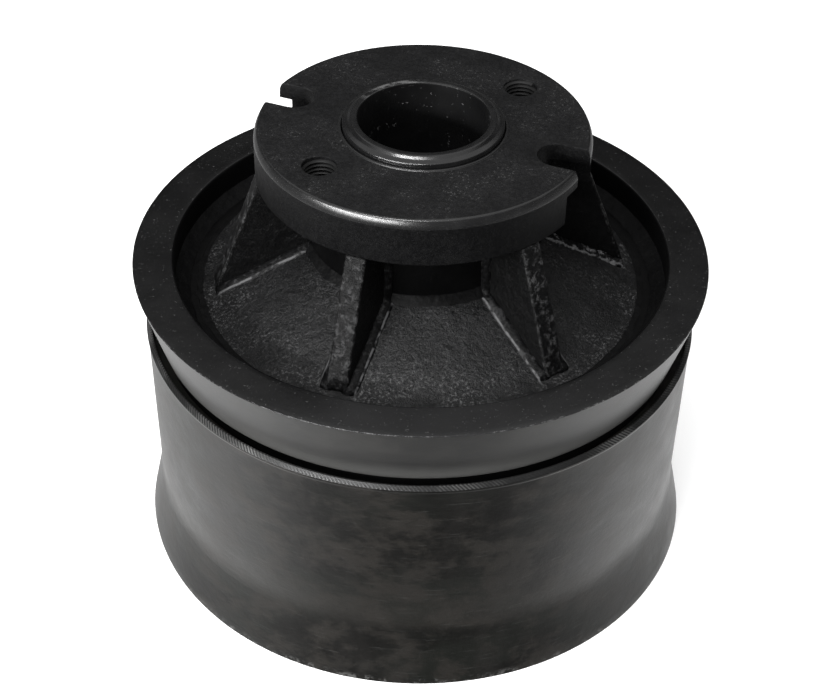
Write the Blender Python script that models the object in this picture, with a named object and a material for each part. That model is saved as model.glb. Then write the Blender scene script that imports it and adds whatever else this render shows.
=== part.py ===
"""Fabricated track roller: a flanged wheel that turns on a fixed inner sleeve.

Metres, +Z up. The origin is the centre of the lower rim, and +Z is the axis of rotation.
"""

import math

import bmesh
import bpy
from mathutils import Matrix

# Clearances
SEAT_GAP = 0.0003          # between pieces that touch
RUN_GAP = 0.0003           # between the sleeve and the bushes
SIDE_GAP = 0.0003          # beside the thrust washers and between the seal faces

# Rim
RIM_WIDTH = 0.232
TREAD_R = 0.1985
TREAD_TAPER = 0.0005       # the tread is this much smaller in radius at its lower end
TYRE_WALL = 0.0112
CORE_WALL = 0.0110
CORE_RECESS = 0.004        # core ends above the lower rim
FLARE_RISE = 0.0095
FLARE_HEIGHT = 0.0464
FLARE_BLEND = 0.012
EDGE_CHAMFER = 0.0006
LIP_RISE = 0.0007
LIP_CHAMFER = 0.0025
LIP_BAND = 0.0014
LIP_LAND = 0.0012
GROOVE_DEPTH = 0.0100

# Guide flange above the tread
GUIDE_HEIGHT = 0.0491
GUIDE_RISE = 0.0065
GUIDE_UNDERCUT = 0.0078
GUIDE_TOP_CHAMFER = 0.0020
GROOVE_GAP = 0.0010

# Webs
LEDGE_WIDTH = 0.016        # ring ledge between the web's groove and the rim wall
LEDGE_DROP = 0.0250        # ledge below the rim's top
WEB_GROOVE = 0.003
WEB_RIM_WIDTH = 0.009      # nearly flat outer band of the web
WEB_RIM_FALL = 0.0022
WEB_FALL = 0.518           # fall of the dish for each unit of radius
WEB_THICK = 0.0174
WEB_SEAT = 0.012
BACKING_BASE = 0.017       # backing ring below the web's seat
LOWER_WEB_Z = 0.046
LOWER_WEB_THICK = 0.016

# Hub
SLEEVE_BORE_R = 0.045
SLEEVE_WALL = 0.0104
SLEEVE_PROUD = 0.007
SLEEVE_CHAMFER = 0.0030
SLEEVE_BORE_CHAMFER = 0.0010
BUSH_WALL = 0.0120
TUBE_WALL = 0.0120
HUB_RISE = 0.100           # hub flange face above the rim's top
HUB_FLANGE_OVERHANG = 0.0355
HUB_FLANGE_THICK = 0.034
HUB_FLANGE_LIP = 0.013     # solid over the seal counterbore
HUB_BEVEL_WIDTH = 0.0023
HUB_BEVEL_DEPTH = 0.0050
SLEEVE_WINDOW = 0.0016     # gap round the sleeve in the hub flange and the cap
WINDOW_CHAMFER = 0.0012

# Hub flange holes and slots
TAP_R = 0.0104
TAP_DEPTH = 0.028
TAP_OFFSET = 0.006         # pitch radius beyond the tube
TAP_ANGLES = (38.0, 218.0)
SLOT_WIDTH = 0.028
SLOT_OFFSET = 0.002        # slot end beyond the tube
SLOT_ANGLES = (159.0, 339.0)
POCKET_WIDTH = 0.056       # wider pocket under each slot, for the bolt's head
POCKET_ROOF = 0.012        # solid left over the pocket
POCKET_OFFSET = 0.006      # pocket end beyond the tube
POCKET_CORNER_R = 0.007
MOUTH_OVERRUN = 0.010      # cutters pass the rim and the faces by this much

# Ribs
RIB_COUNT = 6
RIB_THICK = 0.015
RIB_FIRST_ANGLE = 8.4
RIB_TOE_HEIGHT = 0.003
RIB_HEAD_INSET = 0.0005

# Lower cap and its screws
CAP_RECESS = 0.0115
CAP_THICK = 0.014
SCREW_COUNT = 6
SCREW_R = 0.004
SCREW_HEAD_R = 0.0065
SCREW_HEAD_HEIGHT = 0.008
SCREW_BITE = 0.018
SCREW_SOCKET_R = 0.0034
SCREW_SOCKET_DEPTH = 0.004

# Bearing parts
COLLAR_WIDTH = 0.020
COLLAR_CLEARANCE = 0.004   # between the collar and the tube
WASHER_THICK = 0.006
SEAL_RING_WALL = 0.003
SEAL_HEAD_THICK = 0.005
SEAL_NECK = 0.010
SEAL_RING_GAP = 0.0018     # seal rings clear the sleeve
SEAL_HEAD_INSET = 0.0024   # seal heads clear the tube
CARRIER_END_GAP = 0.001
CARRIER_THICK = 0.010
CARRIER_SKIRT = 0.009
CARRIER_SKIRT_WALL = 0.002
CARRIER_OUTER_GAP = 0.0015

# Facets round the rim pieces, the hub pieces, the small ones, a rubber ring's section and the seals
RIM_FACETS = 60
HUB_FACETS = 40
SMALL_FACETS = 12
TORIC_FACETS = 6
SEAL_FACETS = 24

# Radii, from the tread inwards
TYRE_BORE_R = TREAD_R - TYRE_WALL
CORE_R = TYRE_BORE_R - SEAT_GAP
RIM_WALL_R = CORE_R - CORE_WALL
GUIDE_R = TREAD_R + GUIDE_RISE
GUIDE_BASE_R = TREAD_R - GUIDE_UNDERCUT
LEDGE_R = RIM_WALL_R - LEDGE_WIDTH
WEB_R = LEDGE_R - WEB_GROOVE
RIB_TOE_R = WEB_R - WEB_RIM_WIDTH

# Radii, from the bore outwards
SLEEVE_R = SLEEVE_BORE_R + SLEEVE_WALL
BUSH_BORE_R = SLEEVE_R + RUN_GAP
TUBE_BORE_R = BUSH_BORE_R + BUSH_WALL + SEAT_GAP
TUBE_R = TUBE_BORE_R + TUBE_WALL
HUB_FLANGE_R = TUBE_R + HUB_FLANGE_OVERHANG
WINDOW_R = SLEEVE_R + SLEEVE_WINDOW
TAP_PITCH_R = TUBE_R + TAP_OFFSET
SLOT_END_R = TUBE_R + SLOT_OFFSET
POCKET_END_R = TUBE_R + POCKET_OFFSET
SCREW_PITCH_R = (TUBE_BORE_R + TUBE_R) / 2

# Heights
GUIDE_BASE_Z = RIM_WIDTH - GUIDE_HEIGHT
TYRE_TOP_Z = GUIDE_BASE_Z - GROOVE_GAP
HUB_FACE_Z = RIM_WIDTH + HUB_RISE
HUB_UNDER_Z = HUB_FACE_Z - HUB_FLANGE_THICK
LEDGE_Z = RIM_WIDTH - LEDGE_DROP
WEB_EDGE_Z = LEDGE_Z + SEAT_GAP
WEB_SEAT_Z = WEB_EDGE_Z - WEB_THICK
CAP_INNER_Z = CAP_RECESS + CAP_THICK
TUBE_LOW_Z = CAP_INNER_Z + SEAT_GAP
TUBE_TOP_Z = HUB_UNDER_Z - SEAT_GAP
UPPER_SEAL_Z = HUB_FACE_Z - HUB_FLANGE_LIP
LOWER_SEAL_Z = CAP_INNER_Z

# Depths into the hub from the lip that covers each seal
CARRIER_END = CARRIER_END_GAP + CARRIER_THICK
SKIRT_END = CARRIER_END + CARRIER_SKIRT
FIXED_NECK = CARRIER_END + SEAT_GAP
FIXED_HEAD = FIXED_NECK + SEAL_NECK
SEAL_FACE = FIXED_HEAD + SEAL_HEAD_THICK
TURNING_FACE = SEAL_FACE + SIDE_GAP
TURNING_HEAD = TURNING_FACE + SEAL_HEAD_THICK
TURNING_NECK = TURNING_HEAD + SEAL_NECK
BUSH_END = TURNING_NECK + SIDE_GAP

SEAL_BORE_R = SLEEVE_R + SEAL_RING_GAP
SEAL_NECK_R = SEAL_BORE_R + SEAL_RING_WALL
SEAL_HEAD_R = TUBE_BORE_R - SEAL_HEAD_INSET
CARRIER_R = TUBE_BORE_R - CARRIER_OUTER_GAP
CARRIER_SKIRT_R = CARRIER_R - CARRIER_SKIRT_WALL

# The collar sits halfway between the two seal faces
COLLAR_Z = (UPPER_SEAL_Z + LOWER_SEAL_Z) / 2
WASHER_START = COLLAR_WIDTH / 2 + SIDE_GAP
BUSH_START = WASHER_START + WASHER_THICK + SIDE_GAP

FINISHES = {
    "tread_steel": ((0.060, 0.058, 0.055, 1), 0.42, 0.85),
    "black_paint": ((0.016, 0.016, 0.017, 1), 0.55, 0.10),
    "cast_black": ((0.020, 0.020, 0.021, 1), 0.60, 0.10),
    "ground_steel": ((0.110, 0.110, 0.112, 1), 0.32, 0.90),
    "bronze": ((0.420, 0.260, 0.110, 1), 0.35, 1.00),
    "seal_steel": ((0.300, 0.300, 0.310, 1), 0.25, 1.00),
    "seal_rubber": ((0.012, 0.012, 0.012, 1), 0.70, 0.00),
    "screw_steel": ((0.050, 0.050, 0.052, 1), 0.40, 0.90),
}


def clear_scene():
    for thing in list(bpy.data.objects):
        bpy.data.objects.remove(thing, do_unlink=True)


def make_finish(name):
    color, roughness, metallic = FINISHES[name]
    material = bpy.data.materials.new(name)
    material.use_nodes = True
    shader = material.node_tree.nodes["Principled BSDF"]
    shader.inputs["Base Color"].default_value = color
    shader.inputs["Roughness"].default_value = roughness
    shader.inputs["Metallic"].default_value = metallic
    return material


def add_object(name, mesh, finish, parent=None):
    thing = bpy.data.objects.new(name, mesh)
    bpy.context.scene.collection.objects.link(thing)
    thing.data.materials.append(finish)
    thing.parent = parent
    return thing


def add_frame(name):
    """An empty on the axis of rotation, which a body's pieces hang from."""
    frame = bpy.data.objects.new(name, None)
    bpy.context.scene.collection.objects.link(frame)
    return frame


def finish_mesh(name, bm):
    mesh = bpy.data.meshes.new(name)
    bmesh.ops.recalc_face_normals(bm, faces=bm.faces)
    bm.to_mesh(mesh)
    bm.free()
    mesh.shade_smooth()
    mesh.set_sharp_from_angle(angle=math.radians(35))
    return mesh


def turned_mesh(name, outline, facets):
    """A closed outline of (radius, height) points turned all the way round Z."""
    bm = bmesh.new()
    points = [bm.verts.new((radius, 0, height)) for radius, height in outline]
    sides = [bm.edges.new(pair) for pair in zip(points, points[1:] + points[:1])]
    bmesh.ops.spin(
        bm, geom=points + sides, cent=(0, 0, 0), axis=(0, 0, 1),
        angle=math.tau, steps=facets, use_merge=True,
    )
    bmesh.ops.remove_doubles(bm, verts=bm.verts, dist=1e-6)
    return finish_mesh(name, bm)


def block_outline(inner, outer, low, high):
    return [(inner, low), (outer, low), (outer, high), (inner, high)]


def cutter_from(mesh, name, target):
    """Cut the mesh's shape out of the target, and keep the cutter out of the model."""
    cutter = bpy.data.objects.new(name, mesh)
    bpy.context.scene.collection.objects.link(cutter)
    cutter.hide_render = True
    cutter.display_type = "WIRE"
    cut = target.modifiers.new(name, "BOOLEAN")
    cut.operation = "DIFFERENCE"
    cut.solver = "EXACT"
    cut.object = cutter
    return cutter


def cylinder_mesh(name, radius, low, high, facets):
    bm = bmesh.new()
    bmesh.ops.create_cone(
        bm, cap_ends=True, segments=facets, radius1=radius, radius2=radius, depth=high - low,
    )
    bmesh.ops.translate(bm, verts=bm.verts, vec=(0, 0, (low + high) / 2))
    return finish_mesh(name, bm)


def prism_mesh(name, outline, low, high):
    """A closed (x, y) outline extruded from one height to another."""
    bm = bmesh.new()
    points = [bm.verts.new((x, y, low)) for x, y in outline]
    base = bm.faces.new(points)
    raised = bmesh.ops.extrude_face_region(bm, geom=[base])["geom"]
    top = [item for item in raised if isinstance(item, bmesh.types.BMVert)]
    bmesh.ops.translate(bm, verts=top, vec=(0, 0, high - low))
    return finish_mesh(name, bm)


def place_at_angle(thing, degrees, radius=0.0):
    turn = Matrix.Rotation(math.radians(degrees), 4, "Z")
    thing.matrix_world = turn @ Matrix.Translation((radius, 0, 0))


def make_tread_tyre(finish, wheel):
    lip_r = TREAD_R + LIP_RISE
    low_r = TREAD_R - TREAD_TAPER
    flare_r = TREAD_R + FLARE_RISE
    slope = (flare_r - low_r) / FLARE_HEIGHT
    outline = [
        (TYRE_BORE_R, 0),
        (flare_r - EDGE_CHAMFER, 0),
        (flare_r, EDGE_CHAMFER),
        (low_r + slope * FLARE_BLEND, FLARE_HEIGHT - FLARE_BLEND),
        (low_r, FLARE_HEIGHT + FLARE_BLEND / 3),
        (TREAD_R, TYRE_TOP_Z - LIP_CHAMFER - LIP_BAND - LIP_RISE * 2),
        (lip_r, TYRE_TOP_Z - LIP_CHAMFER - LIP_BAND),
        (lip_r, TYRE_TOP_Z - LIP_CHAMFER),
        (lip_r - LIP_CHAMFER, TYRE_TOP_Z),
        (lip_r - LIP_CHAMFER - LIP_LAND, TYRE_TOP_Z),
        (lip_r - LIP_CHAMFER - LIP_LAND, TYRE_TOP_Z - GROOVE_DEPTH),
        (TYRE_BORE_R, TYRE_TOP_Z - GROOVE_DEPTH),
    ]
    add_object("tread_tyre", turned_mesh("tread_tyre", outline, RIM_FACETS), finish, wheel)


def make_rim_core(finish, wheel):
    outline = block_outline(RIM_WALL_R, CORE_R, CORE_RECESS, GUIDE_BASE_Z - SEAT_GAP)
    add_object("rim_core", turned_mesh("rim_core", outline, RIM_FACETS), finish, wheel)


def make_guide_flange_ring(finish, wheel):
    outline = [
        (RIM_WALL_R, GUIDE_BASE_Z),
        (GUIDE_BASE_R, GUIDE_BASE_Z),
        (GUIDE_R, RIM_WIDTH - EDGE_CHAMFER),
        (GUIDE_R - EDGE_CHAMFER, RIM_WIDTH),
        (RIM_WALL_R + GUIDE_TOP_CHAMFER, RIM_WIDTH),
        (RIM_WALL_R, RIM_WIDTH - GUIDE_TOP_CHAMFER),
    ]
    mesh = turned_mesh("guide_flange_ring", outline, RIM_FACETS)
    add_object("guide_flange_ring", mesh, finish, wheel)


def web_top(radius):
    """Height of the dish at a radius between the tube and the ribs' toes."""
    return WEB_EDGE_Z + WEB_RIM_FALL + (RIB_TOE_R - radius) * WEB_FALL


def make_webs(finish, wheel):
    inner = TUBE_R + SEAT_GAP
    outer = RIM_WALL_R - SEAT_GAP
    upper = [
        (inner, web_top(inner)),
        (RIB_TOE_R, web_top(RIB_TOE_R)),
        (WEB_R, WEB_EDGE_Z),
        (WEB_R, WEB_SEAT_Z),
        (WEB_R - WEB_SEAT, WEB_SEAT_Z),
        (inner, web_top(inner) - WEB_THICK),
    ]
    add_object("upper_web_plate", turned_mesh("upper_web_plate", upper, RIM_FACETS), finish, wheel)
    seat_z = WEB_SEAT_Z - SEAT_GAP
    backing = [
        (WEB_R - WEB_SEAT, seat_z - BACKING_BASE),
        (outer, seat_z - BACKING_BASE),
        (outer, LEDGE_Z),
        (LEDGE_R, LEDGE_Z),
        (LEDGE_R, seat_z),
        (WEB_R - WEB_SEAT, seat_z),
    ]
    add_object("web_backing_ring", turned_mesh("web_backing_ring", backing, RIM_FACETS), finish, wheel)
    lower = block_outline(inner, outer, LOWER_WEB_Z, LOWER_WEB_Z + LOWER_WEB_THICK)
    add_object("lower_web_plate", turned_mesh("lower_web_plate", lower, RIM_FACETS), finish, wheel)


def make_ribs(finish, wheel):
    """Gussets: one face on the tube, one under the hub flange, one on the web, one sloping."""
    inner = TUBE_R + SEAT_GAP
    head = HUB_FLANGE_R - RIB_HEAD_INSET
    outline = [
        (inner, web_top(inner) + SEAT_GAP),
        (RIB_TOE_R, web_top(RIB_TOE_R) + SEAT_GAP),
        (RIB_TOE_R, web_top(RIB_TOE_R) + RIB_TOE_HEIGHT),
        (head, HUB_UNDER_Z - SEAT_GAP),
        (inner, HUB_UNDER_Z - SEAT_GAP),
    ]
    upright = Matrix.Rotation(math.pi / 2, 4, "X")
    for number in range(RIB_COUNT):
        name = f"rib_{number + 1}"
        mesh = prism_mesh(name, outline, -RIB_THICK / 2, RIB_THICK / 2)
        mesh.transform(upright)
        rib = add_object(name, mesh, finish, wheel)
        place_at_angle(rib, RIB_FIRST_ANGLE + number * 360 / RIB_COUNT)


def make_hub_tube(finish, wheel):
    outline = block_outline(TUBE_BORE_R, TUBE_R, TUBE_LOW_Z, TUBE_TOP_Z)
    tube = add_object("hub_tube", turned_mesh("hub_tube", outline, HUB_FACETS), finish, wheel)
    hole_top = TUBE_LOW_Z + SCREW_BITE + SEAT_GAP
    for number in range(SCREW_COUNT):
        name = f"tube_screw_hole_{number + 1}"
        mesh = cylinder_mesh(name, SCREW_R + SEAT_GAP, TUBE_LOW_Z - 0.001, hole_top, SMALL_FACETS)
        cutter = cutter_from(mesh, name, tube)
        place_at_angle(cutter, screw_angle(number), SCREW_PITCH_R)


def slot_outline():
    """A U open to the flange's rim."""
    end_r = SLOT_WIDTH / 2
    middle = SLOT_END_R + end_r
    mouth = HUB_FLANGE_R + MOUTH_OVERRUN
    turns = (math.pi * step / 10 for step in range(11))
    end = [(middle - end_r * math.sin(turn), end_r * math.cos(turn)) for turn in turns]
    return end + [(mouth, -end_r), (mouth, end_r)]


def pocket_outline():
    """A rectangle open to the flange's rim, with its two inner corners rounded."""
    half = POCKET_WIDTH / 2
    mouth = HUB_FLANGE_R + MOUTH_OVERRUN
    middle = POCKET_END_R + POCKET_CORNER_R
    side = half - POCKET_CORNER_R
    turns = [math.pi / 2 * step / 4 for step in range(5)]
    upper = [
        (middle - POCKET_CORNER_R * math.sin(turn), side + POCKET_CORNER_R * math.cos(turn))
        for turn in turns
    ]
    lower = [(x, -y) for x, y in reversed(upper)]
    return upper + lower + [(mouth, -half), (mouth, half)]


def make_hub_flange(finish, wheel):
    counterbore = TUBE_BORE_R
    outline = [
        (WINDOW_R, UPPER_SEAL_Z),
        (counterbore, UPPER_SEAL_Z),
        (counterbore, HUB_UNDER_Z),
        (HUB_FLANGE_R, HUB_UNDER_Z),
        (HUB_FLANGE_R, HUB_FACE_Z - HUB_BEVEL_DEPTH),
        (HUB_FLANGE_R - HUB_BEVEL_WIDTH, HUB_FACE_Z),
        (WINDOW_R + WINDOW_CHAMFER, HUB_FACE_Z),
        (WINDOW_R, HUB_FACE_Z - WINDOW_CHAMFER),
    ]
    flange = add_object("hub_flange", turned_mesh("hub_flange", outline, RIM_FACETS), finish, wheel)
    above = HUB_FACE_Z + MOUTH_OVERRUN
    below = HUB_UNDER_Z - MOUTH_OVERRUN
    roof = HUB_FACE_Z - POCKET_ROOF
    for number, angle in enumerate(TAP_ANGLES):
        name = f"tapped_hole_{number + 1}"
        mesh = cylinder_mesh(name, TAP_R, HUB_FACE_Z - TAP_DEPTH, above, SMALL_FACETS * 2)
        place_at_angle(cutter_from(mesh, name, flange), angle, TAP_PITCH_R)
    for number, angle in enumerate(SLOT_ANGLES):
        name = f"slot_{number + 1}"
        mesh = prism_mesh(name, slot_outline(), below, above)
        place_at_angle(cutter_from(mesh, name, flange), angle)
        name = f"slot_pocket_{number + 1}"
        mesh = prism_mesh(name, pocket_outline(), below, roof)
        place_at_angle(cutter_from(mesh, name, flange), angle)


def screw_angle(number):
    return 30 + number * 360 / SCREW_COUNT


def make_lower_cap(finish, screw_finish, wheel):
    outline = [
        (WINDOW_R + WINDOW_CHAMFER, CAP_RECESS),
        (TUBE_R - WINDOW_CHAMFER, CAP_RECESS),
        (TUBE_R, CAP_RECESS + WINDOW_CHAMFER),
        (TUBE_R, CAP_INNER_Z),
        (WINDOW_R, CAP_INNER_Z),
        (WINDOW_R, CAP_RECESS + WINDOW_CHAMFER),
    ]
    cap = add_object("lower_hub_cap", turned_mesh("lower_hub_cap", outline, HUB_FACETS), finish, wheel)
    seat_z = CAP_RECESS + SCREW_HEAD_HEIGHT + SEAT_GAP
    hole = [
        (0, CAP_RECESS - 0.001),
        (SCREW_HEAD_R + SEAT_GAP * 2, CAP_RECESS - 0.001),
        (SCREW_HEAD_R + SEAT_GAP * 2, seat_z + SEAT_GAP),
        (SCREW_R + SEAT_GAP, seat_z + SEAT_GAP),
        (SCREW_R + SEAT_GAP, CAP_INNER_Z + 0.001),
        (0, CAP_INNER_Z + 0.001),
    ]
    screw = [
        (0, CAP_RECESS + SEAT_GAP + SCREW_SOCKET_DEPTH),
        (SCREW_SOCKET_R, CAP_RECESS + SEAT_GAP + SCREW_SOCKET_DEPTH),
        (SCREW_SOCKET_R, CAP_RECESS + SEAT_GAP),
        (SCREW_HEAD_R, CAP_RECESS + SEAT_GAP),
        (SCREW_HEAD_R, seat_z),
        (SCREW_R, seat_z),
        (SCREW_R, TUBE_LOW_Z + SCREW_BITE),
        (0, TUBE_LOW_Z + SCREW_BITE),
    ]
    for number in range(SCREW_COUNT):
        name = f"cap_screw_hole_{number + 1}"
        cutter = cutter_from(pivot_mesh(name, hole, SMALL_FACETS), name, cap)
        place_at_angle(cutter, screw_angle(number), SCREW_PITCH_R)
        name = f"cap_screw_{number + 1}"
        piece = add_object(name, pivot_mesh(name, screw, SMALL_FACETS), screw_finish, wheel)
        place_at_angle(piece, screw_angle(number), SCREW_PITCH_R)


def pivot_mesh(name, outline, facets):
    """As turned_mesh, for an open outline whose first and last points are on the axis."""
    bm = bmesh.new()
    points = [bm.verts.new((radius, 0, height)) for radius, height in outline]
    sides = [bm.edges.new(pair) for pair in zip(points, points[1:])]
    bmesh.ops.spin(
        bm, geom=points + sides, cent=(0, 0, 0), axis=(0, 0, 1),
        angle=math.tau, steps=facets, use_merge=True,
    )
    bmesh.ops.remove_doubles(bm, verts=bm.verts, dist=1e-6)
    return finish_mesh(name, bm)


def make_inner_sleeve(finish, fixed):
    low = CAP_RECESS - SLEEVE_PROUD
    high = HUB_FACE_Z + SLEEVE_PROUD
    outline = [
        (SLEEVE_BORE_R, low + SLEEVE_BORE_CHAMFER),
        (SLEEVE_BORE_R + SLEEVE_BORE_CHAMFER, low),
        (SLEEVE_R - SLEEVE_CHAMFER, low),
        (SLEEVE_R, low + SLEEVE_CHAMFER),
        (SLEEVE_R, high - SLEEVE_CHAMFER),
        (SLEEVE_R - SLEEVE_CHAMFER, high),
        (SLEEVE_BORE_R + SLEEVE_BORE_CHAMFER, high),
        (SLEEVE_BORE_R, high - SLEEVE_BORE_CHAMFER),
    ]
    add_object("inner_sleeve", turned_mesh("inner_sleeve", outline, HUB_FACETS), finish, fixed)


def make_thrust_parts(steel, bronze, fixed):
    half = COLLAR_WIDTH / 2
    collar_r = TUBE_BORE_R - COLLAR_CLEARANCE
    inner = SLEEVE_R + SEAT_GAP
    collar = block_outline(inner, collar_r, COLLAR_Z - half, COLLAR_Z + half)
    add_object("thrust_collar", turned_mesh("thrust_collar", collar, HUB_FACETS), steel, fixed)
    for side, name in ((1, "upper_thrust_washer"), (-1, "lower_thrust_washer")):
        near = COLLAR_Z + side * WASHER_START
        far = COLLAR_Z + side * (WASHER_START + WASHER_THICK)
        washer = block_outline(inner, collar_r, near, far)
        add_object(name, turned_mesh(name, washer, HUB_FACETS), bronze, fixed)


def make_bushes(finish, wheel):
    outer = TUBE_BORE_R - SEAT_GAP
    ends = {
        "upper_bush": (COLLAR_Z + BUSH_START, UPPER_SEAL_Z - BUSH_END),
        "lower_bush": (COLLAR_Z - BUSH_START, LOWER_SEAL_Z + BUSH_END),
    }
    for name, (near, far) in ends.items():
        outline = block_outline(BUSH_BORE_R, outer, near, far)
        add_object(name, turned_mesh(name, outline, HUB_FACETS), finish, wheel)


def toric_outline(inner, outer, height):
    radius = (outer - inner) / 2 - SEAT_GAP
    middle = (inner + outer) / 2
    steps = (math.tau * step / TORIC_FACETS for step in range(TORIC_FACETS))
    return [(middle + radius * math.cos(turn), height + radius * math.sin(turn)) for turn in steps]


def make_seal(side, start, label, finishes, fixed, wheel):
    """One face seal. Depths are measured from the lip that covers it, inwards."""
    steel, ring_steel, rubber = finishes

    def at(depth):
        return start - side * depth

    carrier = [
        (SLEEVE_R + SEAT_GAP, at(CARRIER_END_GAP)),
        (CARRIER_R, at(CARRIER_END_GAP)),
        (CARRIER_R, at(SKIRT_END)),
        (CARRIER_SKIRT_R, at(SKIRT_END)),
        (CARRIER_SKIRT_R, at(CARRIER_END)),
        (SLEEVE_R + SEAT_GAP, at(CARRIER_END)),
    ]
    fixed_ring = [
        (SEAL_BORE_R, at(FIXED_NECK)),
        (SEAL_NECK_R, at(FIXED_NECK)),
        (SEAL_NECK_R, at(FIXED_HEAD)),
        (SEAL_HEAD_R, at(FIXED_HEAD)),
        (SEAL_HEAD_R, at(SEAL_FACE)),
        (SEAL_BORE_R, at(SEAL_FACE)),
    ]
    turning_ring = [
        (SEAL_BORE_R, at(TURNING_FACE)),
        (SEAL_HEAD_R, at(TURNING_FACE)),
        (SEAL_HEAD_R, at(TURNING_HEAD)),
        (SEAL_NECK_R, at(TURNING_HEAD)),
        (SEAL_NECK_R, at(TURNING_NECK)),
        (SEAL_BORE_R, at(TURNING_NECK)),
    ]
    fixed_toric = toric_outline(SEAL_NECK_R, CARRIER_SKIRT_R, at(FIXED_NECK + CARRIER_SKIRT / 2))
    turning_toric = toric_outline(SEAL_NECK_R, TUBE_BORE_R, at(TURNING_HEAD + SEAL_NECK / 2))
    pieces = (
        ("seal_carrier", carrier, HUB_FACETS, steel, fixed),
        ("fixed_seal_ring", fixed_ring, SEAL_FACETS, ring_steel, fixed),
        ("fixed_toric", fixed_toric, SEAL_FACETS, rubber, fixed),
        ("turning_seal_ring", turning_ring, SEAL_FACETS, ring_steel, wheel),
        ("turning_toric", turning_toric, SEAL_FACETS, rubber, wheel),
    )
    for piece, outline, facets, finish, parent in pieces:
        name = f"{label}_{piece}"
        add_object(name, turned_mesh(name, outline, facets), finish, parent)


def main():
    clear_scene()
    look = {name: make_finish(name) for name in FINISHES}
    fixed = add_frame("fixed_frame")
    wheel = add_frame("wheel_frame")

    make_tread_tyre(look["tread_steel"], wheel)
    make_rim_core(look["black_paint"], wheel)
    make_guide_flange_ring(look["black_paint"], wheel)
    make_webs(look["black_paint"], wheel)
    make_ribs(look["black_paint"], wheel)
    make_hub_tube(look["black_paint"], wheel)
    make_hub_flange(look["cast_black"], wheel)
    make_lower_cap(look["cast_black"], look["screw_steel"], wheel)
    make_bushes(look["bronze"], wheel)

    make_inner_sleeve(look["ground_steel"], fixed)
    make_thrust_parts(look["ground_steel"], look["bronze"], fixed)
    seal_finishes = (look["ground_steel"], look["seal_steel"], look["seal_rubber"])
    make_seal(1, UPPER_SEAL_Z, "upper", seal_finishes, fixed, wheel)
    make_seal(-1, LOWER_SEAL_Z, "lower", seal_finishes, fixed, wheel)


main()
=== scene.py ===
"""Fine surfaces, finishes, light and camera for the track roller.

Metres, +Z up. Every turned piece is centred on Z, which is the axis of rotation.
"""

import math

import bpy
from mathutils import Matrix, Vector


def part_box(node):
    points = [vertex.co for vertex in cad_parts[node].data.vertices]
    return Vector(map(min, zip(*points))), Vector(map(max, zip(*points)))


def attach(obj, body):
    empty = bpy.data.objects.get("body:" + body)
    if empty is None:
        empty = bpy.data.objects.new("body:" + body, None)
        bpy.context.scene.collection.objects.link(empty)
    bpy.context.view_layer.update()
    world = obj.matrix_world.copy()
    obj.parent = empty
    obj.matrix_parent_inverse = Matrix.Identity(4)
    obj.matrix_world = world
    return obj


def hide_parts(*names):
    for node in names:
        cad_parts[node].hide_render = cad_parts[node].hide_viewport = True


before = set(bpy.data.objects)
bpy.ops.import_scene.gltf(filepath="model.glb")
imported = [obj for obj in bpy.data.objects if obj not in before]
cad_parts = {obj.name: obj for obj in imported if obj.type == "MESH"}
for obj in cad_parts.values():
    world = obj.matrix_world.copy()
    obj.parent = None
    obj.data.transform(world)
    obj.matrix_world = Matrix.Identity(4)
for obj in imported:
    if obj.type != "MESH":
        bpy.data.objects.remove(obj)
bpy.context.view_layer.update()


def reach(node):
    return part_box(node)[1].x


def top(node):
    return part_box(node)[1].z


def foot(node):
    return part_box(node)[0].z


# Radii and heights taken from the frame
FLARE_R = reach("tread_tyre")
TYRE_TOP = top("tread_tyre")
GUIDE_R = reach("guide_flange_ring")
RIM_TOP = top("guide_flange_ring")
GUIDE_LOW = foot("guide_flange_ring")
CORE_R = reach("rim_core")
CORE_LOW = foot("rim_core")
CORE_TOP = top("rim_core")
WALL_R = reach("web_backing_ring")
LEDGE_TOP = top("web_backing_ring")
LEDGE_LOW = foot("web_backing_ring")
WEB_R = reach("upper_web_plate")
WEB_TOP = top("upper_web_plate")
LOWER_WEB_LOW = foot("lower_web_plate")
LOWER_WEB_TOP = top("lower_web_plate")
TUBE_R = reach("hub_tube")
TUBE_LOW = foot("hub_tube")
FLANGE_R = reach("hub_flange")
FACE = top("hub_flange")
UNDER = foot("hub_flange")
SLEEVE_R = reach("inner_sleeve")
SLEEVE_TOP = top("inner_sleeve")
SLEEVE_LOW = foot("inner_sleeve")
CAP_LOW = foot("lower_hub_cap")
CAP_TOP = top("lower_hub_cap")

# Rim details
FLARE_RISE = 0.0095
FLARE_HEIGHT = 0.0464
FLARE_BLEND = 0.012
TREAD_R = FLARE_R - FLARE_RISE
TREAD_TAPER = 0.0005
TYRE_WALL = 0.0112
TYRE_LIFT = 0.00015        # keeps the uneven lower edge clear of the ground
LIP_RISE = 0.0007
LIP_CHAMFER = 0.0025
LIP_BAND = 0.0014
LIP_LAND = 0.0012
GROOVE_DEPTH = 0.010
GUIDE_UNDERCUT = 0.0078
GUIDE_CHAMFER = 0.0020

# Web details
SEAT = 0.0003              # between pieces that touch
LEDGE_WIDTH = 0.016
WEB_BAND = 0.009           # nearly flat outer band of the dish
WEB_BAND_FALL = 0.0022
WEB_THICK = 0.0174
WEB_SEAT = 0.012
WEB_EDGE = LEDGE_TOP + SEAT
TOE_R = WEB_R - WEB_BAND
TOE_Z = WEB_EDGE + WEB_BAND_FALL
WEB_FALL = (WEB_TOP - TOE_Z) / (TOE_R - TUBE_R)

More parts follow.
